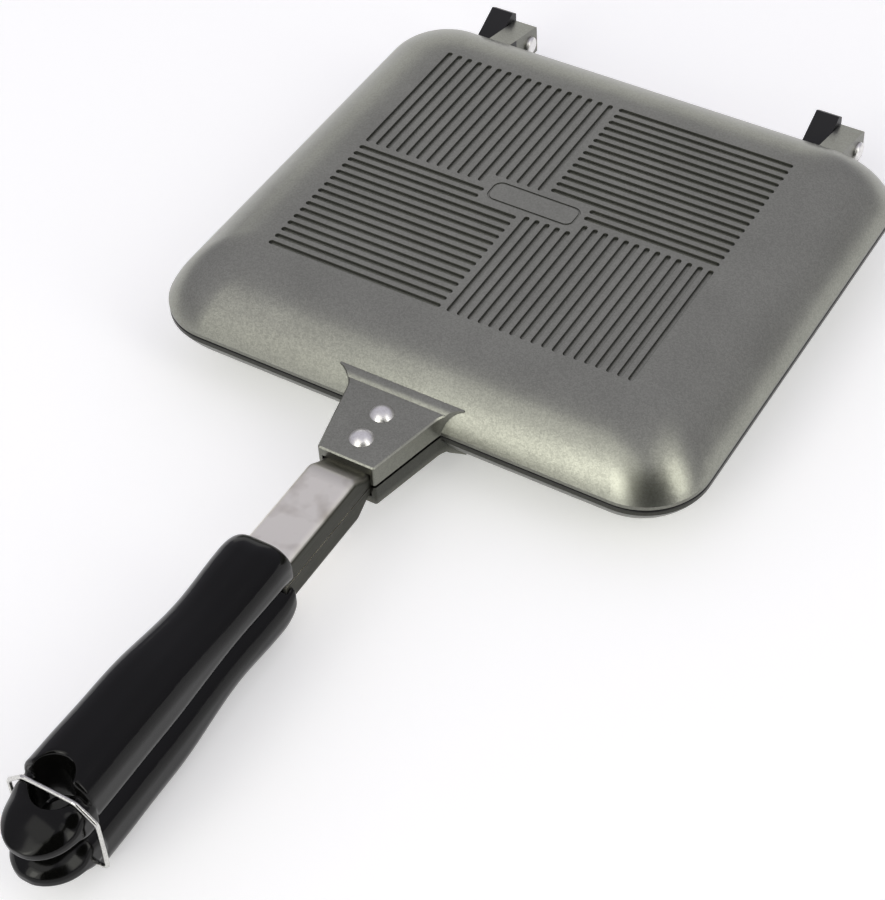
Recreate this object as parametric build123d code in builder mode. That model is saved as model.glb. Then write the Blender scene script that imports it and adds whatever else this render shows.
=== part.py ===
from build123d import *
import math
import os

os.makedirs("parts", exist_ok=True)

# A camping sandwich toaster: two shallow cast plates hinged at the back. Each has
# a tongue in front, a channel strap riveted under it and a moulded grip on the
# strap's tang. A wire clip on the lower grip folds over the upper one.
#
# Millimetres, +Z up, handle towards -Y, hinge towards +Y. The origin is the middle
# of the lower plate's flat base. Both halves mirror each other about the parting
# plane, apart from the hinge and the clip's pivot holes.

# plates
plate_width = 211.0  # across X at the rim
plate_length = 190.8  # along Y at the rim
plate_height = 22.3  # one plate, from its flat outside to the parting plane
plate_wall = 3.5
lip_height = 2.0  # upright lip around the rim
lip_corner = 24.0  # plan radius at the lip
flat_corner = 8.0  # plan radius where the dome meets the flat outside
dome_run = 32.0  # from the lip in to the flat outside
dome_steps = 8
rim_gap = 0.4  # between the two rims when closed
rim_round = 0.5

# channels cast into each flat outside, in four fields around a bare centre panel
field_width = 143.6
field_length = 124.0
field_strip = 1.6  # bare strip between two fields
channel_width = 2.0
channel_depth = 1.0
fields = (  # side in X, side in Y, channels run along X, count
    (-1, 1, False, 17),
    (1, 1, True, 16),
    (-1, -1, True, 16),
    (1, -1, False, 18),
)
panel_width = 35.0
panel_length = 10.4
panel_line = 0.9  # engraved outline of the panel
panel_line_depth = 0.35
panel_corner = 3.5
panel_margin = 1.9  # between the panel and the nearest channels

# tongue in front of each plate
tongue_reach = 30.1  # past the rim
tongue_height = 8.8  # above the parting plane
tongue_gap = 1.2  # between the two tongues when closed
tongue_cheek = 1.6  # beside the strap's slot, at the front
tongue_taper = 6.4  # how much wider each side is at the rim
tongue_flare = 7.0  # how far the root then flares out on each side
tongue_flare_length = 7.0
tongue_root = 2.0  # the flare starts this far in front of the rim
tongue_chamfer = 0.5
tongue_front_round = 1.0
tongue_blend = 5.0  # radius of the hollow between the tongue's top and the dome

# rivets through tongue and strap
rivet_places = {"rear": 7.3, "front": 20.0}  # distance in front of the rim
rivet_diameter = 4.5
rivet_head_diameter = 8.4
rivet_head_height = 2.3
rivet_tail_diameter = 6.6
rivet_tail_height = 1.4

# channel straps
strap_width = 18.4
strap_thickness = 1.5
strap_bend = 2.5  # outside radius of the long bends
strap_low = 5.2  # top of the web under the tongue, above the parting plane
strap_high = 9.4  # top of the web at the grip
strap_back = 2.2  # start of the strap, in front of the rim
ramp_start = 31.3
ramp_length = 6.6
ramp_round = 4.0
flange_foot = 0.2  # lower edge of the flanges, above the parting plane
tang_width = 14.0
tang_length = 62.5
tang_corner = 3.0

# grips
grip_front = 77.0  # nose of the grip, in front of the rim
grip_gap = 0.5  # between the two grips when closed
grip_end = 202.5
mouth_depth = 3.5
nose_roll = 9.0  # length over which the nose rolls out to the full section
nose_side = 1.2  # wall beside the strap's width
nose_height = 13.4
nose_top_round = 0.7  # share of the body's radius at the nose's face
nose_bottom_round = 0.4
nose_trim = 0.2  # cut off square, so that the nose has a flat face
grip_keys = (  # distance behind the nose, side wall beside the strap's width, height
    (nose_roll, 2.4, 19.1),
    (31.5, 1.9, 18.2),
    (69.0, 2.9, 21.5),
    (103.8, 3.2, 22.0),
)
grip_spacing = 8.0  # about this far between sections of the body
grip_top_radius = 9.25
grip_bottom_radius = 7.6
step_round = 1.2  # edge of the step down from body to knob
knob_side = 3.5  # side wall beside the strap's width
knob_roll = 14.3  # length over which the knob rounds off
knob_top_radius = 5.5
knob_bottom_radius = 4.6
hang_hole = 14.0  # diameter of the hanging hole
hang_place = 182.8  # in front of the rim
hang_flare = 1.6  # how far its rim flares out

# grip screws, driven from between the grips into brass inserts
screw_places = {"front": 88.5, "rear": 130.5}  # in front of the rim
screw_diameter = 4.0
screw_head_diameter = 7.0
screw_head_height = 2.4
screw_slot_width = 1.1
screw_slot_depth = 1.0
screw_length = 8.0
screw_point = 0.5  # chamfer at the screw's end
insert_diameter = 6.0
insert_length = 7.0

# hinges: an ear on the lower plate beside a lug on the upper one
hinge_span = 140.7  # between the gaps of the two hinges
hinge_shift = -0.9  # of both hinges along X
hinge_reach = 10.5  # pin axis behind the rim
hinge_root = 8.5  # ears and lugs reach this far in from the rim
hinge_side_gap = 0.4  # between ear and lug
ear_width = 9.3
ear_radius = 6.3
ear_ridge = 9.8  # top of the ear above the pin
ear_ridge_back = 3.8  # the ridge, behind the pin
ear_shoulder_back = 6.5
ear_shoulder = 8.0  # lower corner behind the ridge, above the pin
ear_step = 3.2  # top of the ear's front face, above the pin
ear_step_run = 1.0
ear_step_rise = 0.6
ear_front_gap = 1.5  # from the upper plate's rim to the front of the ear
lug_width = 9.3
lug_radius = 6.5
lug_back = 6.0  # lug's back face behind the pin
lug_top = 5.3  # lug's top back corner above the pin
lug_top_round = 1.2
lug_slope = 13.0  # degrees, of the lug's top and the ear's underside
pin_diameter = 5.0
pin_head_diameter = 7.2
pin_head_height = 1.6
pin_head_round = 1.3
pin_point = 0.4  # chamfer at the pin's end
open_angle = 105.0
stop_top = 1.0  # stop pad, below the parting plane
stop_bottom = 7.0
stop_slope = 22.0  # degrees, of the pad's underside

# wire clip
wire_diameter = 1.5
clip_place = 185.0  # pivots, in front of the rim
clip_drop = 12.0  # pivots below the parting plane
clip_rise = 16.3  # top bar above the parting plane
clip_bar_side = 3.2  # the bar's ends, inside the knob's sides
clip_leg_side = 3.3  # the legs, outside the knob's sides
clip_shoulder_rise = 10.3
clip_foot_length = 6.5
clip_bend = 2.5

# clearances
fit_clearance = 0.05  # radial, fixed pieces in their holes
running_clearance = 0.1  # radial, pins that turn
slot_clearance = 0.1  # each side, straps in their slots
pocket_clearance = 0.5  # around the screw heads, and at the ends of tangs and channels
foot_clearance = 0.3  # at each end of the clip's bores
clip_clearance = 0.4  # between the swinging bar and the knobs
stop_clearance = 0.3  # between the lug's heel and the stop at full opening

rim_front = -plate_length / 2
hinge_y = plate_length / 2 + hinge_reach
parting = Plane.XY.offset(plate_height)

# The dome's side is one arc, from its slope at the lip to level at the flat outside.
dome_turn = 2 * math.atan2(plate_height - lip_height, dome_run)
dome_arc = dome_run / math.sin(dome_turn)


def dome_section(share, wall):
    """A level section of the dome at this share of its slope, or of its inside under a wall."""
    turn = dome_turn * share
    outer_inset = dome_arc * (math.sin(dome_turn) - math.sin(turn))
    inset = outer_inset + wall * math.sin(turn)
    level = plate_height - dome_arc * (1 - math.cos(turn)) - wall * math.cos(turn)
    corner = lip_corner + (flat_corner - lip_corner) * outer_inset / dome_run
    with BuildSketch(parting.offset(level)) as outline:
        RectangleRounded(
            plate_width - 2 * inset,
            plate_length - 2 * inset,
            corner - wall * math.sin(turn),
        )
    return outline.sketch


def domed_block(wall):
    """The dome with its lip, going on below the parting plane. A wall gives its inside."""
    sections = [dome_section(1 - k / dome_steps, wall) for k in range(dome_steps + 1)]
    with BuildPart() as block:
        extrude(sections[0], amount=-plate_height)
        loft(sections)
    return block.part


# the outside of the upper plate, cut off just above the parting plane
with BuildPart() as plate_block:
    add(domed_block(0))
    split(bisect_by=parting.offset(rim_gap / 2), keep=Keep.TOP)
    fillet(plate_block.faces().sort_by(Axis.Z)[0].edges(), rim_round)

# its tongue, straight-sided and flared where it meets the plate
tongue_front_half = strap_width / 2 + slot_clearance + tongue_cheek
tongue_root_half = tongue_front_half + tongue_taper
flare_y = rim_front - tongue_root
flare_half = tongue_root_half + tongue_flare
inside_y = rim_front + dome_run  # well inside the plate
with BuildPart() as tongue:
    with BuildSketch(parting.offset(tongue_gap / 2)) as tongue_plan:
        with BuildLine():
            side = Polyline(
                (0, rim_front - tongue_reach),
                (tongue_front_half, rim_front - tongue_reach),
                (tongue_root_half, flare_y),
            )
            root = TangentArc(
                (tongue_root_half, flare_y),
                (flare_half, flare_y + tongue_flare_length),
                tangent=side % 1,
            )
            Polyline(root @ 1, (flare_half, inside_y), (0, inside_y))
            mirror(about=Plane.YZ)
        make_face()
    extrude(amount=tongue_height - tongue_gap / 2)
    fillet(tongue.edges().filter_by(Axis.Z).sort_by(Axis.Y)[:2], tongue_front_round)
    chamfer(tongue.faces().sort_by(Axis.Z)[-1].edges(), tongue_chamfer)

# a hollow along the dome's foot, its arc touching the dome's arc and the tongue's top
dome_centre = plate_height - dome_arc  # height of the dome arc's centre, above inside_y
blend_rise = tongue_height + tongue_blend - dome_centre
blend_run = math.sqrt((dome_arc + tongue_blend) ** 2 - blend_rise**2)
touch = dome_arc / (dome_arc + tongue_blend)
on_tongue = (inside_y - blend_run, tongue_height)
on_dome = (inside_y - blend_run * touch, dome_centre + blend_rise * touch)
blend_foot = tongue_height - tongue_chamfer
with BuildPart() as blend:
    extrude(tongue_plan.sketch, amount=plate_height)
    with BuildSketch(Plane(origin=(0, 0, plate_height), x_dir=(0, 1, 0), z_dir=(1, 0, 0))):
        with BuildLine():
            RadiusArc(on_tongue, on_dome, tongue_blend)
            Polyline(
                on_dome,
                (inside_y, on_dome[1]),
                (inside_y, blend_foot),
                (on_tongue[0], blend_foot),
                on_tongue,
            )
        make_face()
    extrude(amount=plate_width, both=True, mode=Mode.INTERSECT)

# the channels and the bare panel, drawn on the flat outside
panel_half_width = panel_width / 2 + panel_margin
panel_half_length = panel_length / 2 + panel_margin
with BuildSketch(parting.offset(plate_height)) as channels:
    for side_x, side_y, along_x, count in fields:
        across_end = (field_length if along_x else field_width) / 2 - channel_width / 2
        along_end = (field_width if along_x else field_length) / 2
        panel_across = panel_half_length if along_x else panel_half_width
        panel_along = panel_half_width if along_x else panel_half_length
        across_start = field_strip / 2 + channel_width / 2
        for k in range(count):
            across = across_start + (across_end - across_start) * k / (count - 1)
            start = panel_along if across < panel_across else field_strip / 2 + channel_width / 2
            middle = (start + along_end) / 2
            x, y = (middle, across) if along_x else (across, middle)
            with Locations((side_x * x, side_y * y)):
                SlotOverall(along_end - start, channel_width, rotation=0 if along_x else 90)

# everything that is taken out of the upper plate: the cavity, the channels, the
# strap's slot under the tongue and the rivet holes
cavity = domed_block(plate_wall)
with BuildPart() as plate_cuts:
    add(cavity)
    extrude(channels.sketch, amount=-channel_depth)
    with BuildSketch(parting.offset(plate_height)):
        RectangleRounded(panel_width, panel_length, panel_corner)
        RectangleRounded(
            panel_width - 2 * panel_line,
            panel_length - 2 * panel_line,
            panel_corner - panel_line,
            mode=Mode.SUBTRACT,
        )
    extrude(amount=-panel_line_depth)
    with BuildSketch(parting):
        with Locations((0, rim_front - strap_back + pocket_clearance)):
            Rectangle(
                strap_width + 2 * slot_clearance, tongue_reach, align=(Align.CENTER, Align.MAX)
            )
    extrude(amount=strap_low)
    for place in rivet_places.values():
        with BuildSketch(parting):
            with Locations((0, rim_front - place)):
                Circle(rivet_diameter / 2 + fit_clearance)
        extrude(amount=2 * tongue_height)


def hinge_plane(x):
    """A plane across the hinge, local x along +Y and local y along +Z from the pin."""
    return Plane(origin=(x, hinge_y, plate_height), x_dir=(0, 1, 0), z_dir=(1, 0, 0))


hinge_middles = {"left": hinge_shift - hinge_span / 2, "right": hinge_shift + hinge_span / 2}
wall_inside = -hinge_reach - hinge_root  # seen from the pin
slope = math.tan(math.radians(lug_slope))

# a lug: sloping top, upright back, a heel that meets the stop
with BuildSketch() as lug_outline:
    with BuildLine():
        Polyline(
            (-lug_radius, 0),
            (-lug_radius, rim_gap / 2),
            (wall_inside, rim_gap / 2),
            (wall_inside, lug_top + slope * (lug_back - wall_inside)),
            (lug_back, lug_top),
            (lug_back, -lug_radius),
            (0, -lug_radius),
        )
        RadiusArc((0, -lug_radius), (-lug_radius, 0), lug_radius)
    make_face()
    fillet(lug_outline.vertices().sort_by_distance((lug_back, lug_top))[0], lug_top_round)

# an ear: rounded under the pin, with a ridge standing up beside the lug
ear_front = ear_front_gap - hinge_reach
with BuildSketch() as ear_outline:
    with BuildLine():
        Polyline(
            (0, -ear_radius),
            (wall_inside, -ear_radius + slope * wall_inside),
            (wall_inside, -rim_gap / 2),
            (ear_front, -rim_gap / 2),
            (ear_front, ear_step),
            (ear_front + ear_step_run, ear_step + ear_step_rise),
            (ear_ridge_back, ear_ridge),
            (ear_shoulder_back, ear_shoulder),
            (ear_radius, 0),
        )
        RadiusArc((ear_radius, 0), (0, -ear_radius), ear_radius)
    make_face()

# a stop pad on the lower plate's back, just short of the heel at full opening
heel_turn = math.radians(open_angle)
heel_reach = lug_back * math.cos(heel_turn) - lug_radius * math.sin(heel_turn)
stop_face = heel_reach - stop_clearance
stop_drop = math.tan(math.radians(stop_slope)) * (stop_face - wall_inside)
with BuildSketch() as stop_outline:
    with BuildLine():
        Polyline(
            (wall_inside, -stop_top),
            (stop_face, -stop_top),
            (stop_face, -stop_bottom),
            (wall_inside, -stop_bottom - stop_drop),
            close=True,
        )
    make_face()


def across_hinge(outline, start, width):
    """A hinge outline drawn across the pin and made this wide along X."""
    return extrude(hinge_plane(start) * outline, amount=width, mode=Mode.PRIVATE)


with BuildPart() as plate_shell:
    add(plate_block.part)
    add(tongue.part)
    add(blend.part)
    add(plate_cuts.part, mode=Mode.SUBTRACT)

with BuildPart() as lugs:
    for middle in hinge_middles.values():
        add(across_hinge(lug_outline.sketch, middle + hinge_side_gap / 2, lug_width))
    add(cavity, mode=Mode.SUBTRACT)

with BuildPart() as ears_and_stops:
    for middle in hinge_middles.values():
        add(across_hinge(ear_outline.sketch, middle - hinge_side_gap / 2 - ear_width, ear_width))
        add(across_hinge(stop_outline.sketch, middle + hinge_side_gap / 2, lug_width))
    mirror(cavity, about=parting, mode=Mode.SUBTRACT)

with BuildPart() as upper_plate:
    add(plate_shell.part)
    add(lugs.part)
    for middle in hinge_middles.values():
        with BuildSketch(hinge_plane(middle)):
            Circle(pin_diameter / 2 + fit_clearance)
        extrude(amount=2 * lug_width, mode=Mode.SUBTRACT)

with BuildPart() as lower_plate:
    mirror(plate_shell.part, about=parting)
    add(ears_and_stops.part)
    for middle in hinge_middles.values():
        with BuildSketch(hinge_plane(middle)):
            Circle(pin_diameter / 2 + running_clearance)
        extrude(amount=-2 * ear_width, mode=Mode.SUBTRACT)

# rivets: domed head on the tongue, upset tail under the web
def dome_radius(half_width, height):
    """The radius of a cap this wide and high."""
    return (half_width**2 + height**2) / (2 * height)


web_underside = strap_low - strap_thickness
upper_rivets = {}
for name, place in rivet_places.items():
    head = rivet_head_diameter / 2
    tail = rivet_tail_diameter / 2
    axis_plane = Plane(origin=(0, rim_front - place, plate_height), x_dir=(1, 0, 0), z_dir=(0, -1, 0))
    with BuildPart() as rivet:
        with BuildSketch(axis_plane):
            with BuildLine():
                Line((0, web_underside - rivet_tail_height), (0, tongue_height + rivet_head_height))
                RadiusArc(
                    (0, tongue_height + rivet_head_height),
                    (head, tongue_height),
                    dome_radius(head, rivet_head_height),
                )
                Polyline(
                    (head, tongue_height),
                    (rivet_diameter / 2, tongue_height),
                    (rivet_diameter / 2, web_underside),
                    (tail, web_underside),
                )
                RadiusArc(
                    (tail, web_underside),
                    (0, web_underside - rivet_tail_height),
                    dome_radius(tail, rivet_tail_height),
                )
            make_face()
        revolve(axis=Axis((0, rim_front - place, 0), (0, 0, 1)))
    upper_rivets[name] = rivet.part

# straps: a channel that steps up in front of the tongue and ends in a flat tang
ramp_angle = math.atan2(strap_high - strap_low, ramp_length)
ramp_shift = strap_thickness * math.tan(ramp_angle / 2)
channel_length = grip_front + mouth_depth - pocket_clearance  # end of the channel, in front of the rim
channel_end = rim_front - channel_length
side_plane = Plane(origin=(0, rim_front, plate_height), x_dir=(0, -1, 0), z_dir=(-1, 0, 0))


def strap_side(shift, lower, start, end, foot):
    """The side view of the channel's outside, or of its hollow when shifted and lowered."""
    ramp_foot = (ramp_start + shift, strap_low - lower)
    ramp_head = (ramp_start + ramp_length + shift, strap_high - lower)
    with BuildSketch(side_plane) as outline:
        with BuildLine():
            Polyline(
                (start, foot),
                (start, strap_low - lower),
                ramp_foot,
                ramp_head,
                (end, strap_high - lower),
                (end, foot),
                close=True,
            )
        make_face()
        fillet(outline.vertices().sort_by_distance(ramp_foot)[0], ramp_round + lower)
        fillet(outline.vertices().sort_by_distance(ramp_head)[0], ramp_round - lower)
    return outline.sketch


def upper_long_edges(solid):
    """The edges that run along both sides of the channel's top."""
    faces = solid.faces().sort_by(Axis.X)
    edges = faces[0].edges() + faces[-1].edges()
    over_feet = edges.filter_by(lambda edge: edge.center().Z > plate_height + strap_low / 2)
    return over_feet.filter_by(Axis.Z, reverse=True)


with BuildPart() as strap_hollow:
    extrude(
        strap_side(ramp_shift, strap_thickness, 0, 2 * channel_length, -strap_low),
        amount=strap_width / 2 - strap_thickness,
        both=True,
    )
    fillet(upper_long_edges(strap_hollow), strap_bend - strap_thickness)

with BuildPart() as upper_strap:
    extrude(
        strap_side(0, 0, strap_back, channel_length, flange_foot),
        amount=strap_width / 2,
        both=True,
    )
    fillet(upper_long_edges(upper_strap), strap_bend)
    add(strap_hollow.part, mode=Mode.SUBTRACT)
    with BuildSketch(parting.offset(strap_high)):
        with Locations((0, channel_end + strap_thickness)):
            Rectangle(tang_width, tang_length + strap_thickness, align=(Align.CENTER, Align.MAX))
    extrude(amount=-strap_thickness)
    fillet(upper_strap.edges().filter_by(Axis.Z).sort_by(Axis.Y)[:2], tang_corner)
    for place in rivet_places.values():
        with Locations((0, rim_front - place, plate_height + strap_low)):
            Cylinder(rivet_diameter / 2 + fit_clearance, 4 * strap_thickness, mode=Mode.SUBTRACT)
    for place in screw_places.values():
        with Locations((0, rim_front - place, plate_height + strap_high)):
            Cylinder(screw_diameter / 2 + slot_clearance, 4 * strap_thickness, mode=Mode.SUBTRACT)


# grips
def grip_section(y, half_width, height, top_radius, bottom_radius):
    """One section across a grip, flat where the two grips meet."""
    plane = Plane(origin=(0, y, plate_height + grip_gap / 2), x_dir=(1, 0, 0), z_dir=(0, -1, 0))
    with BuildSketch(plane) as outline:
        Rectangle(2 * half_width, height, align=(Align.CENTER, Align.MIN))
        fillet(outline.vertices().group_by(Axis.Y)[-1], top_radius)
        fillet(outline.vertices().group_by(Axis.Y)[0], bottom_radius)
    return outline.sketch


grip_nose = rim_front - grip_front
grip_tip = rim_front - grip_end
hang_y = rim_front - hang_place
clip_y = rim_front - clip_place
tang_end = channel_end - tang_length
tang_low = strap_high - strap_thickness
insert_foot = strap_high + 2 * slot_clearance
knob_half_width = strap_width / 2 + knob_side


def eased(before, after, place):
    """A value between two neighbouring keys, level at each."""
    share = (place - before[0]) / (after[0] - before[0])
    share = share * share * (3 - 2 * share)
    return [low + (high - low) * share for low, high in zip(before[1:], after[1:])]


def nose_section(turn):
    """A section of the nose, at this many degrees of its quarter round."""
    side_wall, height = grip_keys[0][1:]
    back = nose_roll * (1 - math.cos(math.radians(turn)))
    share = math.sin(math.radians(turn))
    return grip_section(
        grip_nose - back,
        strap_width / 2 + nose_side + (side_wall - nose_side) * share,
        nose_height + (height - nose_height) * share,
        grip_top_radius * (nose_top_round + (1 - nose_top_round) * share),
        grip_bottom_radius * (nose_bottom_round + (1 - nose_bottom_round) * share),
    )


def step_section(turn):
    """The body's last section, drawn in along a quarter round as it reaches the step."""
    back, side_wall, height = grip_keys[-1]
    along = step_round * math.sin(math.radians(turn))
    inset = step_round * (1 - math.cos(math.radians(turn)))
    return grip_section(
        grip_nose - back - along,
        strap_width / 2 + side_wall - inset,
        height - inset,
        grip_top_radius - inset,
        grip_bottom_radius - inset,
    )


def knob_section(y, share):
    """A section of the knob. Its top is turned about the clip's pivots, so the bar clears it."""
    top_reach = clip_rise + clip_drop - wire_diameter / 2 - clip_clearance
    height = math.sqrt(top_reach**2 - (y - clip_y) ** 2) - clip_drop - grip_gap / 2
    return grip_section(
        y,
        knob_half_width * share,
        height,
        knob_top_radius * share,
        knob_bottom_radius * share,
    )


def flared_hole(top):
    """The hanging hole with a trumpet mouth that ends at this height above the grip's flat."""
    bore = hang_hole / 2
    axis_plane = Plane(origin=(0, hang_y, plate_height), x_dir=(1, 0, 0), z_dir=(0, -1, 0))
    with BuildPart() as hole:
        with BuildSketch(axis_plane):
            with BuildLine():
                Polyline(
                    (bore, top - hang_flare),
                    (bore, -hang_flare),
                    (0, -hang_flare),
                    (0, top + hang_flare),
                    (bore + hang_flare, top + hang_flare),
                    (bore + hang_flare, top),
                )
                RadiusArc((bore + hang_flare, top), (bore, top - hang_flare), -hang_flare)
            make_face()
        revolve(axis=Axis((0, hang_y, 0), (0, 0, 1)))
    return hole.part


body_sections = []
for before, after in zip(grip_keys, grip_keys[1:]):
    steps = round((after[0] - before[0]) / grip_spacing)
    for k in range(steps):
        place = before[0] + (after[0] - before[0]) * k / steps
        side_wall, height = eased(before, after, place)
        body_sections.append(
            grip_section(
                grip_nose - place,
                strap_width / 2 + side_wall,
                height,
                grip_top_radius,
                grip_bottom_radius,
            )
        )
body_sections.append(step_section(0))

body_height = grip_keys[-1][2] + grip_gap / 2
knob_height = clip_rise - wire_diameter / 2 - clip_clearance
knob_start = grip_nose - grip_keys[-1][0]
knob_round = grip_tip + knob_roll  # where the knob starts to round off
knob_turns = (15, 30, 45, 60, 72, 81)
with BuildPart() as knob:
    loft(
        [knob_section(knob_start + (knob_round - knob_start) * k / 2, 1) for k in range(3)]
        + [
            knob_section(
                knob_round - knob_roll * math.sin(math.radians(turn)),
                math.cos(math.radians(turn)),
            )
            for turn in knob_turns
        ]
    )
    add(flared_hole(knob_height), mode=Mode.SUBTRACT)

with BuildPart() as upper_grip:
    loft([nose_section(turn) for turn in range(0, 91, 15)])
    split(bisect_by=Plane.XZ.offset(nose_trim - grip_nose), keep=Keep.TOP)
    loft(body_sections)
    loft([step_section(turn) for turn in (0, 22.5, 45, 67.5, 90)])
    add(flared_hole(body_height), mode=Mode.SUBTRACT)
    add(knob.part)
    with BuildSketch(parting):
        with Locations((0, hang_y)):
            Circle(hang_hole / 2)
    extrude(amount=knob_height - hang_flare, mode=Mode.SUBTRACT)
    with BuildSketch(parting):
        with Locations((0, grip_nose)):
            Rectangle(strap_width + 2 * slot_clearance, 2 * mouth_depth)
    extrude(amount=strap_high + slot_clearance, mode=Mode.SUBTRACT)
    with BuildSketch(parting.offset(tang_low - slot_clearance)):
        with Locations((0, grip_nose)):
            Rectangle(
                tang_width + 2 * slot_clearance,
                grip_nose - tang_end + pocket_clearance,
                align=(Align.CENTER, Align.MAX),
            )
    extrude(amount=strap_thickness + 2 * slot_clearance, mode=Mode.SUBTRACT)
    for place in screw_places.values():
        with BuildSketch(parting):
            with Locations((0, rim_front - place)):
                Circle(screw_head_diameter / 2 + pocket_clearance)
        extrude(amount=tang_low, mode=Mode.SUBTRACT)
        with BuildSketch(parting.offset(strap_high)):
            with Locations((0, rim_front - place)):
                Circle(insert_diameter / 2 + fit_clearance)
        extrude(amount=2 * slot_clearance + insert_length, mode=Mode.SUBTRACT)

clip_leg_half = knob_half_width + clip_leg_side
clip_bar_half = knob_half_width - clip_bar_side
with BuildPart() as lower_grip:
    mirror(upper_grip.part, about=parting)
    for side_x in (-1, 1):
        foot_middle = side_x * (clip_leg_half - clip_foot_length / 2)
        with Locations((foot_middle, clip_y, plate_height - clip_drop)):
            Cylinder(
                wire_diameter / 2 + running_clearance,
                clip_foot_length + 2 * foot_clearance,
                rotation=(0, 90, 0),
                mode=Mode.SUBTRACT,
            )

# grip screws and inserts
upper_screws = {}
upper_inserts = {}
for name, place in screw_places.items():
    with BuildPart() as screw:
        with BuildSketch(parting.offset(tang_low)):
            with Locations((0, rim_front - place)):
                Circle(screw_head_diameter / 2)
        extrude(amount=-screw_head_height)
        fillet(screw.faces().sort_by(Axis.Z)[0].edges(), screw_head_height / 3)
        with BuildSketch(parting.offset(tang_low)):
            with Locations((0, rim_front - place)):
                Circle(screw_diameter / 2)
        extrude(amount=screw_length)
        chamfer(screw.faces().sort_by(Axis.Z)[-1].edges(), screw_point)
        with BuildSketch(parting.offset(tang_low - screw_head_height)):
            with Locations((0, rim_front - place)):
                Rectangle(2 * screw_head_diameter, screw_slot_width)
        extrude(amount=screw_slot_depth, mode=Mode.SUBTRACT)
    upper_screws[name] = screw.part
    with BuildPart() as insert:
        with BuildSketch(parting.offset(insert_foot)):
            with Locations((0, rim_front - place)):
                Circle(insert_diameter / 2)
                Circle(screw_diameter / 2 + fit_clearance, mode=Mode.SUBTRACT)
        extrude(amount=insert_length)
    upper_inserts[name] = insert.part

# hinge pins: headed on the lug's side, turning in the ear
hinge_pins = {}
for name, middle in hinge_middles.items():
    head_face = middle + hinge_side_gap / 2 + lug_width
    shank = hinge_side_gap + lug_width + ear_width
    with BuildPart() as pin:
        with BuildSketch(hinge_plane(head_face)):
            Circle(pin_diameter / 2)
        extrude(amount=-shank)
        chamfer(pin.faces().sort_by(Axis.X)[0].edges(), pin_point)
        with BuildSketch(hinge_plane(head_face)):
            Circle(pin_head_diameter / 2)
        extrude(amount=pin_head_height)
        fillet(pin.faces().sort_by(Axis.X)[-1].edges(), pin_head_round)
    hinge_pins[name] = pin.part

# the clip: one wire, its feet turned in to the lower grip
clip_plane = Plane(origin=(0, clip_y, plate_height), x_dir=(1, 0, 0), z_dir=(0, -1, 0))
half_wire = (
    (clip_leg_half - clip_foot_length, -clip_drop),
    (clip_leg_half, -clip_drop),
    (clip_leg_half, clip_shoulder_rise),
    (clip_bar_half, clip_rise),
)
with BuildPart() as wire_clip:
    with BuildLine(clip_plane) as wire:
        FilletPolyline(
            *half_wire,
            *((-x, z) for x, z in reversed(half_wire)),
            radius=clip_bend,
        )
    with BuildSketch(Plane(origin=wire.line @ 0, z_dir=wire.line % 0)):
        Circle(wire_diameter / 2)
    sweep(path=wire.line)


def write(piece, name):
    """Label a finished piece and write it under its name."""
    piece.label = name
    export_step(piece, f"parts/{name}.step")


write(upper_plate.part, "upper_plate")
write(lower_plate.part, "lower_plate")
write(upper_strap.part, "upper_strap")
write(mirror(upper_strap.part, about=parting), "lower_strap")
write(upper_grip.part, "upper_grip")
write(lower_grip.part, "lower_grip")
for group, kind in ((upper_rivets, "rivet"), (upper_screws, "grip_screw"), (upper_inserts, "grip_insert")):
    for name, piece in group.items():
        write(piece, f"upper_{name}_{kind}")
        write(mirror(piece, about=parting), f"lower_{name}_{kind}")
for name, piece in hinge_pins.items():
    write(piece, f"{name}_hinge_pin")
write(wire_clip.part, "wire_clip")
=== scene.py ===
import math
import bmesh
import bpy
from mathutils import Matrix, Vector


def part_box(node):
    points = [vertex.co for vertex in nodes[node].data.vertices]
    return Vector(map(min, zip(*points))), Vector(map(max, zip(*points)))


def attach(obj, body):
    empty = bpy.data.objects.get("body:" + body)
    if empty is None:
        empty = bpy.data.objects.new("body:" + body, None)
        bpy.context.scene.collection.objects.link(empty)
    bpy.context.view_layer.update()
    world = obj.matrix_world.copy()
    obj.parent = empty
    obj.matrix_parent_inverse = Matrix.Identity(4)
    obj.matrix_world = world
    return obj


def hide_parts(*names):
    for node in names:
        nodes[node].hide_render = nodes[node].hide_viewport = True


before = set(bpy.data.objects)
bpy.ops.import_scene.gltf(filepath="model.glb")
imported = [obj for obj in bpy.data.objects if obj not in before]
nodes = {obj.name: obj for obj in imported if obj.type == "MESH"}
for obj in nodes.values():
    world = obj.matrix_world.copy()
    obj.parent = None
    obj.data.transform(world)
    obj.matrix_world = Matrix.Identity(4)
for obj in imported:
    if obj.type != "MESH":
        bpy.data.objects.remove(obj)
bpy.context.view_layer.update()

# A camping sandwich toaster, closed, seen over its handle. Metres, in the CAD's frame:
# +Z up, the handle towards -Y, the lower plate's flat base on the floor at z = 0.
mm = 0.001
print("frame loaded:", len(nodes), "nodes")


def linear(hexColour):
    # sRGB hex to the linear colour that shaders take
    shares = [int(hexColour[k:k + 2], 16) / 255 for k in (1, 3, 5)]
    return [s / 12.92 if s <= 0.04045 else ((s + 0.055) / 1.055) ** 2.4 for s in shares] + [1.0]


def direction(azimuth, elevation):
    # azimuth 0 points along -Y, 90 along +X
    az, el = math.radians(azimuth), math.radians(elevation)
    return Vector((math.sin(az) * math.cos(el), -math.cos(az) * math.cos(el), math.sin(el)))


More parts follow.
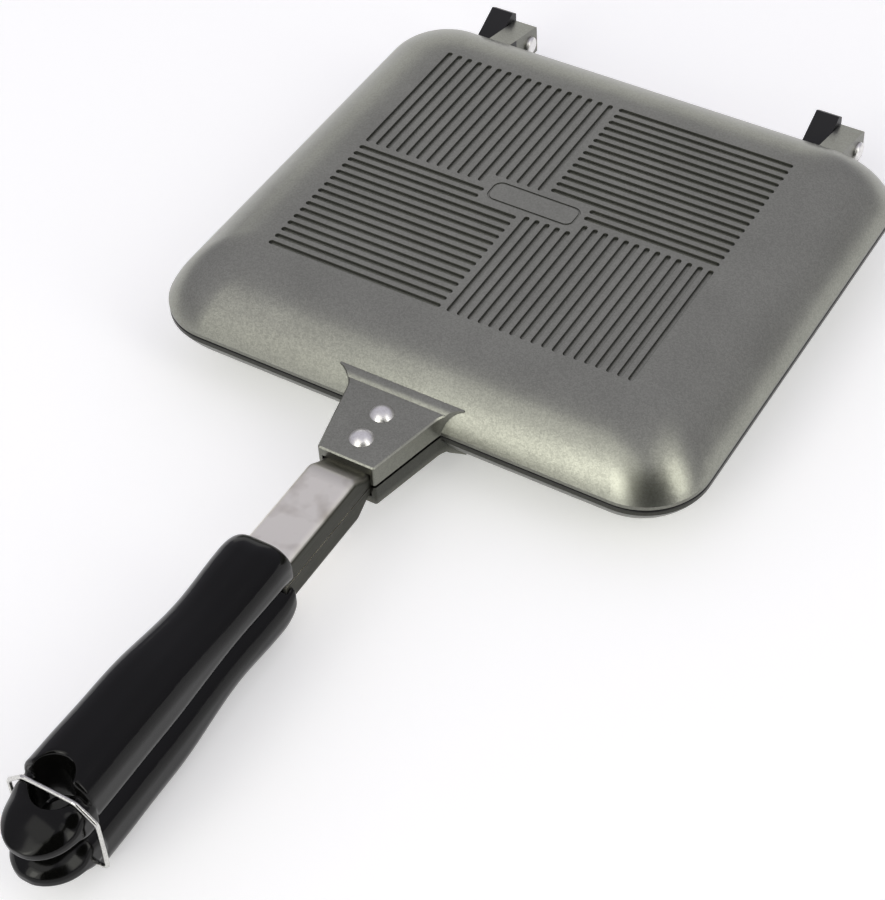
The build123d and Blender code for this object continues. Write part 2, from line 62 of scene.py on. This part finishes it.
def addNode(tree, kind, sockets=(), **settings):
    # adds one node and gives back its output, or the node where it has several.
    # Sockets come in order in a list, or by name or number in a dictionary, and each takes
    # a number, a colour or another node's output
    node = tree.nodes.new("ShaderNode" + kind)
    for name, value in settings.items():
        setattr(node, name, value)
    pairs = sockets.items() if isinstance(sockets, dict) else enumerate(sockets)
    for name, value in pairs:
        if isinstance(value, bpy.types.NodeSocket):
            tree.links.new(value, node.inputs[name])
        else:
            node.inputs[name].default_value = value
    live = [socket for socket in node.outputs if socket.enabled]
    return live[0] if len(live) == 1 else node


# camera at the photograph's place
camera = {
    "azimuth": 33.58,
    "elevation": 46.723,
    "roll": -3.578,
    "place": (0.3020, -0.5228, 0.5607),
    "lens": 90.78,
    "nearest": 0.01,
}


def makeCamera():
    back = direction(camera["azimuth"], camera["elevation"])
    right = direction(camera["azimuth"] + 90, 0)
    up = back.cross(right)
    roll = math.radians(camera["roll"])
    turned = right * math.cos(roll) + up * math.sin(roll)
    uprightShade = up * math.cos(roll) - right * math.sin(roll)
    data = bpy.data.cameras.new("camera")
    data.lens = camera["lens"]
    data.sensor_fit = "HORIZONTAL"
    data.clip_start = camera["nearest"]
    cam = bpy.data.objects.new("camera", data)
    turn = Matrix((turned, uprightShade, back)).transposed().to_4x4()
    cam.matrix_world = Matrix.Translation(camera["place"]) @ turn
    bpy.context.scene.collection.objects.link(cam)
    bpy.context.scene.camera = cam


makeCamera()
print("camera placed")

# studio: an even pale room, soft panels in front, at the side and behind, each of the first
# two with a smaller lamp over it, and a black card in the gap between front and side.
# Angles are in degrees, as seen from the toaster.
studio = {
    "reach": 2.5,  # distance of panels and card
    "roomColour": "#F4F1FF",
    "roomFoot": 0.38,  # level at the horizon
    "roomTop": 0.58,
    "roomRise": 0.6,  # sine of the elevation from which the room is at its full level
    "panels": {
        "frontPanel": {"azimuth": -8, "elevation": 24, "width": 32, "height": 36, "level": 1.35},
        "frontLamp": {"azimuth": -9, "elevation": 23, "width": 13, "height": 22, "level": 2.2},
        "frontTop": {"azimuth": -6, "elevation": 53, "width": 46, "height": 20, "level": 0.75},
        "sidePanel": {"azimuth": 83, "elevation": 27, "width": 22, "height": 38, "level": 0.9},
        "sideLamp": {"azimuth": 82, "elevation": 27, "width": 14, "height": 36, "level": 1.3},
        "sideTop": {"azimuth": 84, "elevation": 54, "width": 34, "height": 18, "level": 0.5},
        "backPanel": {"azimuth": -148, "elevation": 10, "width": 46, "height": 24, "level": 0.4},
    },
    "panelColour": "#FFFFF4",
    "panelWatts": 4.0,  # per square metre at level 1
    "card": {"azimuth": 38, "elevation": 20, "width": 56, "height": 56},
    "cardColour": "#0A0A0A",
    "floorSize": 30.0,
    "floorColour": "#F3F3F2",
    "floorLift": 0.34,  # paper seen directly or in a reflection is this much brighter
    "farLift": 0.6,  # and this much where the lamps don't reach it
    "litReach": (1.6, 3.0),  # the one goes over into the other between these distances
}


def facing(azimuth, elevation):
    # the place of a panel or card with its front turned to the toaster
    towards = direction(azimuth, elevation)
    turn = (-towards).to_track_quat("-Z", "Y").to_matrix().to_4x4()
    return Matrix.Translation(towards * studio["reach"]) @ turn


def spanOf(angle):
    return 2 * studio["reach"] * math.tan(math.radians(angle / 2))


def makeRoom():
    scene = bpy.context.scene
    scene.view_settings.view_transform = "Standard"
    world = bpy.data.worlds.new("paleRoom")
    world.use_nodes = True
    tree = world.node_tree
    heading = addNode(tree, "TexCoord").outputs["Generated"]
    rise = addNode(tree, "SeparateXYZ", [heading]).outputs["Z"]
    level = addNode(
        tree, "MapRange", [rise, 0.0, studio["roomRise"], studio["roomFoot"], studio["roomTop"]]
    )
    room = tree.nodes["Background"]
    room.inputs["Color"].default_value = linear(studio["roomColour"])
    tree.links.new(level, room.inputs["Strength"])
    scene.world = world


def hangPanel(name, panel):
    lamp = bpy.data.lights.new(name, "AREA")
    lamp.shape = "RECTANGLE"
    lamp.size = spanOf(panel["width"])
    lamp.size_y = spanOf(panel["height"])
    lamp.color = linear(studio["panelColour"])[:3]
    lamp.energy = panel["level"] * studio["panelWatts"] * lamp.size * lamp.size_y
    ob = bpy.data.objects.new(name, lamp)
    ob.matrix_world = facing(panel["azimuth"], panel["elevation"])
    ob.visible_camera = False
    bpy.context.scene.collection.objects.link(ob)


def stageSheet(name, width, length, place, material):
    # a flat sheet of the studio, not part of the toaster
    bm = bmesh.new()
    bmesh.ops.create_grid(bm, x_segments=1, y_segments=1, size=0.5)
    bmesh.ops.scale(bm, vec=(width, length, 1), verts=bm.verts)
    bmesh.ops.transform(bm, matrix=place, verts=bm.verts)
    mesh = bpy.data.meshes.new(name)
    bm.to_mesh(mesh)
    bm.free()
    mesh.materials.append(material)
    sheet = bpy.data.objects.new(name, mesh)
    bpy.context.scene.collection.objects.link(sheet)
    return sheet


def paperMaterial():
    # matt white background paper, lit by the lamps, lifted to white where it is seen
    material = bpy.data.materials.new("mattWhitePaper")
    material.use_nodes = True
    tree = material.node_tree
    tree.nodes.clear()
    path = addNode(tree, "LightPath")
    seen = addNode(tree, "Math", [path.outputs["Is Camera Ray"], path.outputs["Is Glossy Ray"]])
    seen = addNode(tree, "Math", [seen, path.outputs["Is Transmission Ray"]], use_clamp=True)
    place = addNode(tree, "TexCoord").outputs["Object"]
    distance = addNode(tree, "VectorMath", [place], operation="LENGTH")
    near, far = studio["litReach"]
    lift = addNode(tree, "MapRange", [distance, near, far, studio["floorLift"], studio["farLift"]])
    lift = addNode(tree, "Math", [seen, lift], operation="MULTIPLY")
    glow = addNode(tree, "Emission", {"Strength": lift})
    paper = addNode(tree, "BsdfDiffuse", {"Color": linear(studio["floorColour"])})
    both = addNode(tree, "AddShader", [glow, paper])
    addNode(tree, "OutputMaterial", {"Surface": both})
    return material


def cardMaterial():
    # matt black card, which the corner's dark band reflects
    material = bpy.data.materials.new("mattBlackCard")
    material.use_nodes = True
    shader = material.node_tree.nodes["Principled BSDF"]
    shader.inputs["Base Color"].default_value = linear(studio["cardColour"])
    shader.inputs["Roughness"].default_value = 1.0
    shader.inputs["Specular IOR Level"].default_value = 0.0
    return material


def makeCard():
    card = studio["card"]
    place = facing(card["azimuth"], card["elevation"])
    sheet = stageSheet("card", spanOf(card["width"]), spanOf(card["height"]), place, cardMaterial())
    sheet.visible_camera = False
    sheet.visible_shadow = False


makeRoom()
for name, panel in studio["panels"].items():
    hangPanel(name, panel)
stageSheet("floor", studio["floorSize"], studio["floorSize"], Matrix(), paperMaterial())
makeCard()
print("studio ready")


def newMaterial(name, **constants):
    # a Principled material with its tree and its Object and Normal coordinates
    material = bpy.data.materials.new(name)
    material.use_nodes = True
    tree = material.node_tree
    shader = tree.nodes["Principled BSDF"]
    for socket, value in constants.items():
        shader.inputs[socket].default_value = value
    where = addNode(tree, "TexCoord")
    return material, tree, shader, where


def wire(tree, shader, **outputs):
    # links finished values to the shader's sockets
    for socket, value in outputs.items():
        tree.links.new(value, shader.inputs[socket.replace("_", " ")])


coating = {
    "parting": 22.3,  # mm, height of the plane where the two plates meet
    "inside": 19.0,  # mm from that plane, the cooking faces lie within it
    "rim": 95.6,  # mm along Y, both ends of the rim lie within it and the ears outside
    "coatColour": "#98998F",  # pewter grey with a touch of olive
    # colour of the painted shade in grooves and corners
    "creviceShadeColour": "#33342F",
    "insideColour": "#191918",
    "creviceReach": 1.3,  # mm
    "creviceOpening": (0.45, 0.9),  # a crevice is full under the first share of openness
    "uprightShadeShare": 0.62,  # painted shade: upright faces are drawn darker
    "uprightRise": (0.2, 0.38),  # of the normal, fully upright and no longer so
    "flakeSize": 0.45,  # mm; real flakes are under 0.1, drawn coarse so that they show
    "flakeTilt": 0.025,
    "flakeSpread": 0.11,
    "mottleSize": 26.0,  # mm, clouds from the spray gun
    "mottleRange": (0.3, 0.7),  # of the noise
    "mottleSpread": 0.05,
    "peelSize": 1.8,  # mm, orange peel
    "peelDepth": 0.012,  # mm
    "metalLoss": 0.85,  # crevices and the black inside are hardly metallic
    "roughness": 0.33,
    "roughnessSpread": 0.02,
    "insideRoughness": 0.42,
    "creviceRoughness": 0.6,
    "skirtShadeShare": 0.3,  # painted shade: the lower plate's skirt is drawn darker
    "skirtReach": (5.5, 11.0),  # mm from the parting plane, fully shaded and no longer so
    "lipReach": (0.4, 0.7),  # mm from it that the inside's black comes round the lip
}


def sprayedCoating(name, isLower):
    # die-cast aluminium with a sprayed non-stick coating: pewter grey and metallic outside,
    # so it takes soft mirror-like highlights with a fine grain; plain black inside
    material, tree, shader, where = newMaterial(name)
    place = where.outputs["Object"]
    normal = where.outputs["Normal"]
    axes = addNode(tree, "SeparateXYZ", [place])
    y = addNode(tree, "Math", [axes.outputs["Y"], mm], operation="DIVIDE")
    z = addNode(tree, "Math", [axes.outputs["Z"], mm], operation="DIVIDE")
    height = addNode(tree, "Math", [z, coating["parting"]], operation="SUBTRACT")
    height = addNode(tree, "Math", [height], operation="ABSOLUTE")

    # painted shade: grooves, the engraved line and corners are drawn darker the more enclosed they are
    local = addNode(
        tree, "AmbientOcclusion", {"Distance": coating["creviceReach"] * mm},
        samples=8, only_local=True,
    )
    full, none = coating["creviceOpening"]
    creviceShade = addNode(tree, "MapRange", [local.outputs["AO"], full, none, 1.0, 0.0])

    # black: faces that look back at the middle between the two cooking faces, and the lip
    middle = (0, 0, coating["parting"] * mm)
    fromMiddle = addNode(tree, "VectorMath", [place, middle], operation="SUBTRACT")
    looks = addNode(tree, "VectorMath", [fromMiddle, normal], operation="DOT_PRODUCT")
    inward = addNode(tree, "Math", [looks, 0.0], operation="LESS_THAN")
    within = addNode(tree, "Math", [height, coating["inside"]], operation="LESS_THAN")
    fromHinge = addNode(tree, "Math", [y], operation="ABSOLUTE")
    between = addNode(tree, "Math", [fromHinge, coating["rim"]], operation="LESS_THAN")
    inside = addNode(tree, "Math", [inward, within], operation="MULTIPLY")
    inside = addNode(tree, "Math", [inside, between], operation="MULTIPLY")
    full, none = coating["lipReach"]
    lip = addNode(tree, "MapRange", [height, full, none, 1.0, 0.0])
    lip = addNode(tree, "Math", [lip, between], operation="MULTIPLY")
    black = addNode(tree, "Math", [inside, lip], operation="MAXIMUM")
    if isLower:  # its ears are as black as its inside
        ears = addNode(tree, "Math", [y, coating["rim"]], operation="GREATER_THAN")
        black = addNode(tree, "Math", [black, ears], operation="MAXIMUM")

    # grain: flakes that differ in brightness and tilt, and clouds from spraying
    flakes = addNode(tree, "TexVoronoi", {"Vector": place, "Scale": 1 / (coating["flakeSize"] * mm)})
    flakeParts = addNode(tree, "SeparateColor", [flakes.outputs["Color"]])
    spread = coating["flakeSpread"]
    shade = addNode(tree, "MapRange", [flakeParts.outputs[0], 0, 1, 1 - spread, 1 + spread])
    mottle = addNode(tree, "TexNoise", {"Vector": place, "Scale": 1 / (coating["mottleSize"] * mm)})
    low, high = coating["mottleRange"]
    spread = coating["mottleSpread"]
    cloud = addNode(tree, "MapRange", [mottle.outputs[0], low, high, 1 - spread, 1 + spread])
    shade = addNode(tree, "Math", [shade, cloud], operation="MULTIPLY")

    # painted shade on upright faces, and on the lower plate's skirt
    rise = addNode(tree, "SeparateXYZ", [normal]).outputs["Z"]
    rise = addNode(tree, "Math", [rise], operation="ABSOLUTE")
    steep, flat = coating["uprightRise"]
    # painted shade, darker the more upright the face
    uprightShade = addNode(tree, "MapRange", [rise, steep, flat, coating["uprightShadeShare"], 1.0])
    shade = addNode(tree, "Math", [shade, uprightShade], operation="MULTIPLY")
    if isLower:
        # painted shade on the lower plate's skirt near the parting plane
        full, none = coating["skirtReach"]
        skirtShade = addNode(tree, "MapRange", [height, full, none, coating["skirtShadeShare"], 1.0])
        shade = addNode(tree, "Math", [shade, skirtShade], operation="MULTIPLY")

    coat = linear(coating["coatColour"])[:3]
    colour = addNode(tree, "VectorMath", {0: coat, "Scale": shade}, operation="SCALE")
    # painted shade colour for grooves and corners
    paintedShade = linear(coating["creviceShadeColour"])
    colour = addNode(tree, "Mix", {0: creviceShade, 6: colour, 7: paintedShade}, data_type="RGBA")
    lining = linear(coating["insideColour"])
    colour = addNode(tree, "Mix", {0: black, 6: colour, 7: lining}, data_type="RGBA")

    dull = addNode(tree, "Math", [creviceShade, black], operation="MAXIMUM")
    lost = addNode(tree, "Math", [dull, coating["metalLoss"]], operation="MULTIPLY")
    metal = addNode(tree, "Math", [1.0, lost], operation="SUBTRACT")
    low = coating["roughness"] - coating["roughnessSpread"]
    high = coating["roughness"] + coating["roughnessSpread"]
    rough = addNode(tree, "MapRange", [flakeParts.outputs[1], 0, 1, low, high])
    rough = addNode(tree, "MapRange", [creviceShade, 0, 1, rough, coating["creviceRoughness"]])
    rough = addNode(tree, "MapRange", [black, 0, 1, rough, coating["insideRoughness"]])

    peel = addNode(tree, "TexNoise", {"Vector": place, "Scale": 1 / (coating["peelSize"] * mm)})
    bump = addNode(tree, "Bump", {"Height": peel.outputs[0], "Distance": coating["peelDepth"] * mm})
    centred = [flakes.outputs["Color"], (0.5, 0.5, 0.5)]
    tilt = addNode(tree, "VectorMath", centred, operation="SUBTRACT")
    tilt = addNode(tree, "VectorMath", {0: tilt, "Scale": coating["flakeTilt"]}, operation="SCALE")
    facet = addNode(tree, "VectorMath", [bump, tilt], operation="ADD")
    facet = addNode(tree, "VectorMath", [facet], operation="NORMALIZE")
    wire(tree, shader, Base_Color=colour, Metallic=metal, Roughness=rough, Normal=facet)
    return material


stainless = {
    "colour": "#F8F5EA",
    "smudgeColour": "#CDC7BA",
    "smudgeSize": 9.0,  # mm
    "smudgeRange": (0.45, 0.75),  # of the noise
    "tongueShadeColour": "#54534A",  # painted shade, darker close to the tongue
    "tongueShadeReach": 13.0,  # mm
    "tongueShadeShare": 0.9,
    "flangeShadeColour": "#34342C",  # painted shade: the strip's sides are drawn darker than its top
    "flangeTurn": (0.75, 0.95),  # of the normal towards the side, no flange yet and all flange
    "lineWidth": 0.35,  # mm; real brush lines are about 0.05, drawn coarse so that they show
    "lineLength": 14.0,  # mm
    "lineDepth": 0.004,  # mm
    "lineDetail": 3.0,
    "lineRange": (0.3, 0.7),  # of the noise
    "roughness": (0.34, 0.48),  # over that range
}


def brushedStainless():
    # bent stainless strip, brushed along its length: a broad pale sheen with fine streaks
    material, tree, shader, where = newMaterial("brushedStainlessSteel", Metallic=1.0)
    place = where.outputs["Object"]
    smudge = addNode(tree, "TexNoise", {"Vector": place, "Scale": 1 / (stainless["smudgeSize"] * mm)})
    low, high = stainless["smudgeRange"]
    mark = addNode(tree, "MapRange", [smudge.outputs[0], low, high, 0.0, 1.0])
    clean, marked = linear(stainless["colour"]), linear(stainless["smudgeColour"])
    colour = addNode(tree, "Mix", {0: mark, 6: clean, 7: marked}, data_type="RGBA")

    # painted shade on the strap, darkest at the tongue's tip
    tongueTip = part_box("upper_plate")[0][1]
    tongueShadeStart = tongueTip - stainless["tongueShadeReach"] * mm
    along = addNode(tree, "SeparateXYZ", [place]).outputs["Y"]
    paintedShade = addNode(tree, "MapRange", [along, tongueShadeStart, tongueTip, 0.0, stainless["tongueShadeShare"]])
    tongueShadeTone = linear(stainless["tongueShadeColour"])
    colour = addNode(tree, "Mix", {0: paintedShade, 6: colour, 7: tongueShadeTone}, data_type="RGBA")

    # painted shade on the strip's sides
    turned = addNode(tree, "SeparateXYZ", [where.outputs["Normal"]]).outputs["X"]
    turned = addNode(tree, "Math", [turned], operation="ABSOLUTE")
    low, high = stainless["flangeTurn"]
    flangeShade = addNode(tree, "MapRange", [turned, low, high, 0.0, 1.0])
    flangeShadeTone = linear(stainless["flangeShadeColour"])
    colour = addNode(tree, "Mix", {0: flangeShade, 6: colour, 7: flangeShadeTone}, data_type="RGBA")

    across = 1 / (stainless["lineWidth"] * mm)
    lengthwise = 1 / (stainless["lineLength"] * mm)
    drawn = addNode(tree, "Mapping", {"Vector": place, "Scale": (across, lengthwise, across)})
    lines = addNode(
        tree, "TexNoise", {"Vector": drawn, "Scale": 1.0, "Detail": stainless["lineDetail"]}
    )
    low, high = stainless["lineRange"]
    smooth, coarse = stainless["roughness"]
    rough = addNode(tree, "MapRange", [lines.outputs[0], low, high, smooth, coarse])
    bump = addNode(
        tree, "Bump", {"Height": lines.outputs[0], "Distance": stainless["lineDepth"] * mm}
    )
    wire(tree, shader, Base_Color=colour, Roughness=rough, Normal=bump)
    return material


phenolic = {
    "colour": "#090908",
    "rubbedColour": "#141412",
    "specular": 0.23,
    "scratchWidth": 0.4,  # mm
    "scratchLength": 20.0,  # mm
    "scratchDetail": 2.0,
    "scratchRange": (0.62, 0.8),  # of the noise, so that only its crests are rubbed
    "scratchRoughness": 0.1,  # added where it is rubbed
    "cloudSize": 18.0,  # mm
    "cloudRange": (0.35, 0.65),  # of the noise
    "roughness": (0.10, 0.18),  # over that range
    "waveSize": 7.0,  # mm, faint sink marks of the moulding
    "waveDepth": 0.02,  # mm
}


def glossyPhenolic():
    # compression-moulded black phenolic: deep black with sharp highlights, hairline rubs
    gloss = {"Specular IOR Level": phenolic["specular"]}
    material, tree, shader, where = newMaterial("glossyBlackPhenolic", **gloss)
    place = where.outputs["Object"]
    across = 1 / (phenolic["scratchWidth"] * mm)
    lengthwise = 1 / (phenolic["scratchLength"] * mm)
    drawn = addNode(tree, "Mapping", {"Vector": place, "Scale": (across, lengthwise, across)})
    scratch = addNode(
        tree, "TexNoise", {"Vector": drawn, "Scale": 1.0, "Detail": phenolic["scratchDetail"]}
    )
    low, high = phenolic["scratchRange"]
    rub = addNode(tree, "MapRange", [scratch.outputs[0], low, high, 0.0, 1.0])
    fresh, rubbed = linear(phenolic["colour"]), linear(phenolic["rubbedColour"])
    colour = addNode(tree, "Mix", {0: rub, 6: fresh, 7: rubbed}, data_type="RGBA")

    cloud = addNode(tree, "TexNoise", {"Vector": place, "Scale": 1 / (phenolic["cloudSize"] * mm)})
    low, high = phenolic["cloudRange"]
    smooth, coarse = phenolic["roughness"]
    rough = addNode(tree, "MapRange", [cloud.outputs[0], low, high, smooth, coarse])
    extra = addNode(tree, "Math", [rub, phenolic["scratchRoughness"]], operation="MULTIPLY")
    rough = addNode(tree, "Math", [rough, extra])

    wave = addNode(tree, "TexNoise", {"Vector": place, "Scale": 1 / (phenolic["waveSize"] * mm)})
    bump = addNode(tree, "Bump", {"Height": wave.outputs[0], "Distance": phenolic["waveDepth"] * mm})
    wire(tree, shader, Base_Color=colour, Roughness=rough, Normal=bump)
    return material


# small metal parts: sizes in mm, roughness over the range of the grain's noise
hardware = {
    "brightNickelledSteel": {
        "colour": "#F6F5F2", "worn": "#E6E4E1", "roughness": (0.29, 0.42), "grain": 0.9, "depth": 0.003,
    },
    "drawnStainlessWire": {
        "colour": "#DEDEDA", "worn": "#BDBCB8", "roughness": (0.19, 0.32), "grain": 0.5, "depth": 0.003,
    },
    "zincPlatedSteel": {
        "colour": "#C8CCD0", "worn": "#A9ADB2", "roughness": (0.31, 0.44), "grain": 0.7, "depth": 0.004,
    },
    "turnedBrass": {
        "colour": "#D3B066", "worn": "#A8853F", "roughness": (0.25, 0.38), "grain": 0.6, "depth": 0.004,
    },
}
toolGrain = {
    "detail": 3.0,
    "wornRange": (0.4, 0.7),  # of the noise
    "roughnessRange": (0.3, 0.7),
}


def hardwareMetal(name):
    # small turned, headed or drawn metal: bright, with dull spots and a fine tool grain
    metal = hardware[name]
    material, tree, shader, where = newMaterial(name, Metallic=1.0)
    place = where.outputs["Object"]
    scale = 1 / (metal["grain"] * mm)
    grain = addNode(tree, "TexNoise", {"Vector": place, "Scale": scale, "Detail": toolGrain["detail"]})
    low, high = toolGrain["wornRange"]
    patch = addNode(tree, "MapRange", [grain.outputs[0], low, high, 0.0, 1.0])
    bright, worn = linear(metal["colour"]), linear(metal["worn"])
    colour = addNode(tree, "Mix", {0: patch, 6: bright, 7: worn}, data_type="RGBA")
    low, high = toolGrain["roughnessRange"]
    smooth, coarse = metal["roughness"]
    rough = addNode(tree, "MapRange", [grain.outputs[0], low, high, smooth, coarse])
    bump = addNode(tree, "Bump", {"Height": grain.outputs[0], "Distance": metal["depth"] * mm})
    wire(tree, shader, Base_Color=colour, Roughness=rough, Normal=bump)
    return material


# which material each CAD node takes, by how its name ends
finishes = {
    "upper_plate": sprayedCoating("sprayedNonStickCoating", False),
    "lower_plate": sprayedCoating("sprayedNonStickCoatingLower", True),
    "_strap": brushedStainless(),
    "_rivet": hardwareMetal("brightNickelledSteel"),
    "_grip_screw": hardwareMetal("zincPlatedSteel"),
    "_grip_insert": hardwareMetal("turnedBrass"),
    "wire_clip": hardwareMetal("drawnStainlessWire"),
    "_grip": glossyPhenolic(),
}
finishes["_hinge_pin"] = finishes["_rivet"]
for name, ob in nodes.items():
    finish = next(material for ending, material in finishes.items() if name.endswith(ending))
    ob.data.materials.clear()
    ob.data.materials.append(finish)
print("materials given to", len(nodes), "nodes")

grips = {
    "bodies": {"upper_grip": "upper_half", "lower_grip": "lower_half"},
    "mergeWithin": 0.01,  # mm
    "voxel": 0.45,  # mm
    "knobCentre": -284.5,  # mm along Y, middle of the ball that each knob ends in
    "domeStart": -280.5,  # behind this the knob keeps its height, under the clip's bar
    "domeEnd": -286.5,
    "halfWidth": 13.2,
    "halfLength": 13.6,
    "rimShare": 0.12,  # of the height, left at the knob's outline
    "roundness": 2.0,  # 2 is a ball, more is fuller
    "smoothing": 0.5,
    "passes": 12,
}


def eased(value, low, high):
    share = min(max((value - low) / (high - low), 0.0), 1.0)
    return share * share * (3 - 2 * share)


def domeShare(x, y):
    # how much of its height the knob keeps at a place
    ahead = max(grips["knobCentre"] - y, 0.0) / grips["halfLength"]
    out = min(math.hypot(x / grips["halfWidth"], ahead), 1.0)
    power = grips["roundness"]
    ball = (1 - out ** power) ** (1 / power)
    ball = grips["rimShare"] + (1 - grips["rimShare"]) * ball
    return 1 + (ball - 1) * eased(y, grips["domeStart"], grips["domeEnd"])


def evenCopy(name):
    # a new object with an even mesh of the CAD grip's shape
    bm = bmesh.new()
    bm.from_mesh(nodes[name].data)
    bmesh.ops.remove_doubles(bm, verts=bm.verts, dist=grips["mergeWithin"] * mm)
    mesh = bpy.data.meshes.new(name + "_moulding")
    bm.to_mesh(mesh)
    bm.free()
    grip = bpy.data.objects.new(name + "_moulding", mesh)
    bpy.context.scene.collection.objects.link(grip)
    remesh = grip.modifiers.new("even", "REMESH")
    remesh.mode = "VOXEL"
    remesh.voxel_size = grips["voxel"] * mm
    ready = grip.evaluated_get(bpy.context.evaluated_depsgraph_get())
    even = bpy.data.meshes.new_from_object(ready)
    grip.modifiers.clear()
    grip.data = even
    return grip


def roundedGrip(name, body):
    # the moulded grip, with its knob domed like a ball above and below its middle
    grip = evenCopy(name)
    bm = bmesh.new()
    bm.from_mesh(grip.data)
    knob = [vert for vert in bm.verts if vert.co.y < grips["domeStart"] * mm]
    heights = [vert.co.z for vert in knob]
    middle = (max(heights) + min(heights)) / 2
    for vert in knob:
        vert.co.z = middle + (vert.co.z - middle) * domeShare(vert.co.x / mm, vert.co.y / mm)
    ball = [vert for vert in knob if vert.co.y < grips["domeEnd"] * mm]
    for _ in range(grips["passes"]):
        bmesh.ops.smooth_vert(
            bm, verts=ball, factor=grips["smoothing"],
            use_axis_x=True, use_axis_y=True, use_axis_z=True,
        )
    for face in bm.faces:
        face.smooth = True
    bm.to_mesh(grip.data)
    bm.free()
    grip.data.materials.clear()
    grip.data.materials.append(finishes["_grip"])
    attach(grip, body)
    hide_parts(name)


for name, body in grips["bodies"].items():
    roundedGrip(name, body)
print("grips rounded")
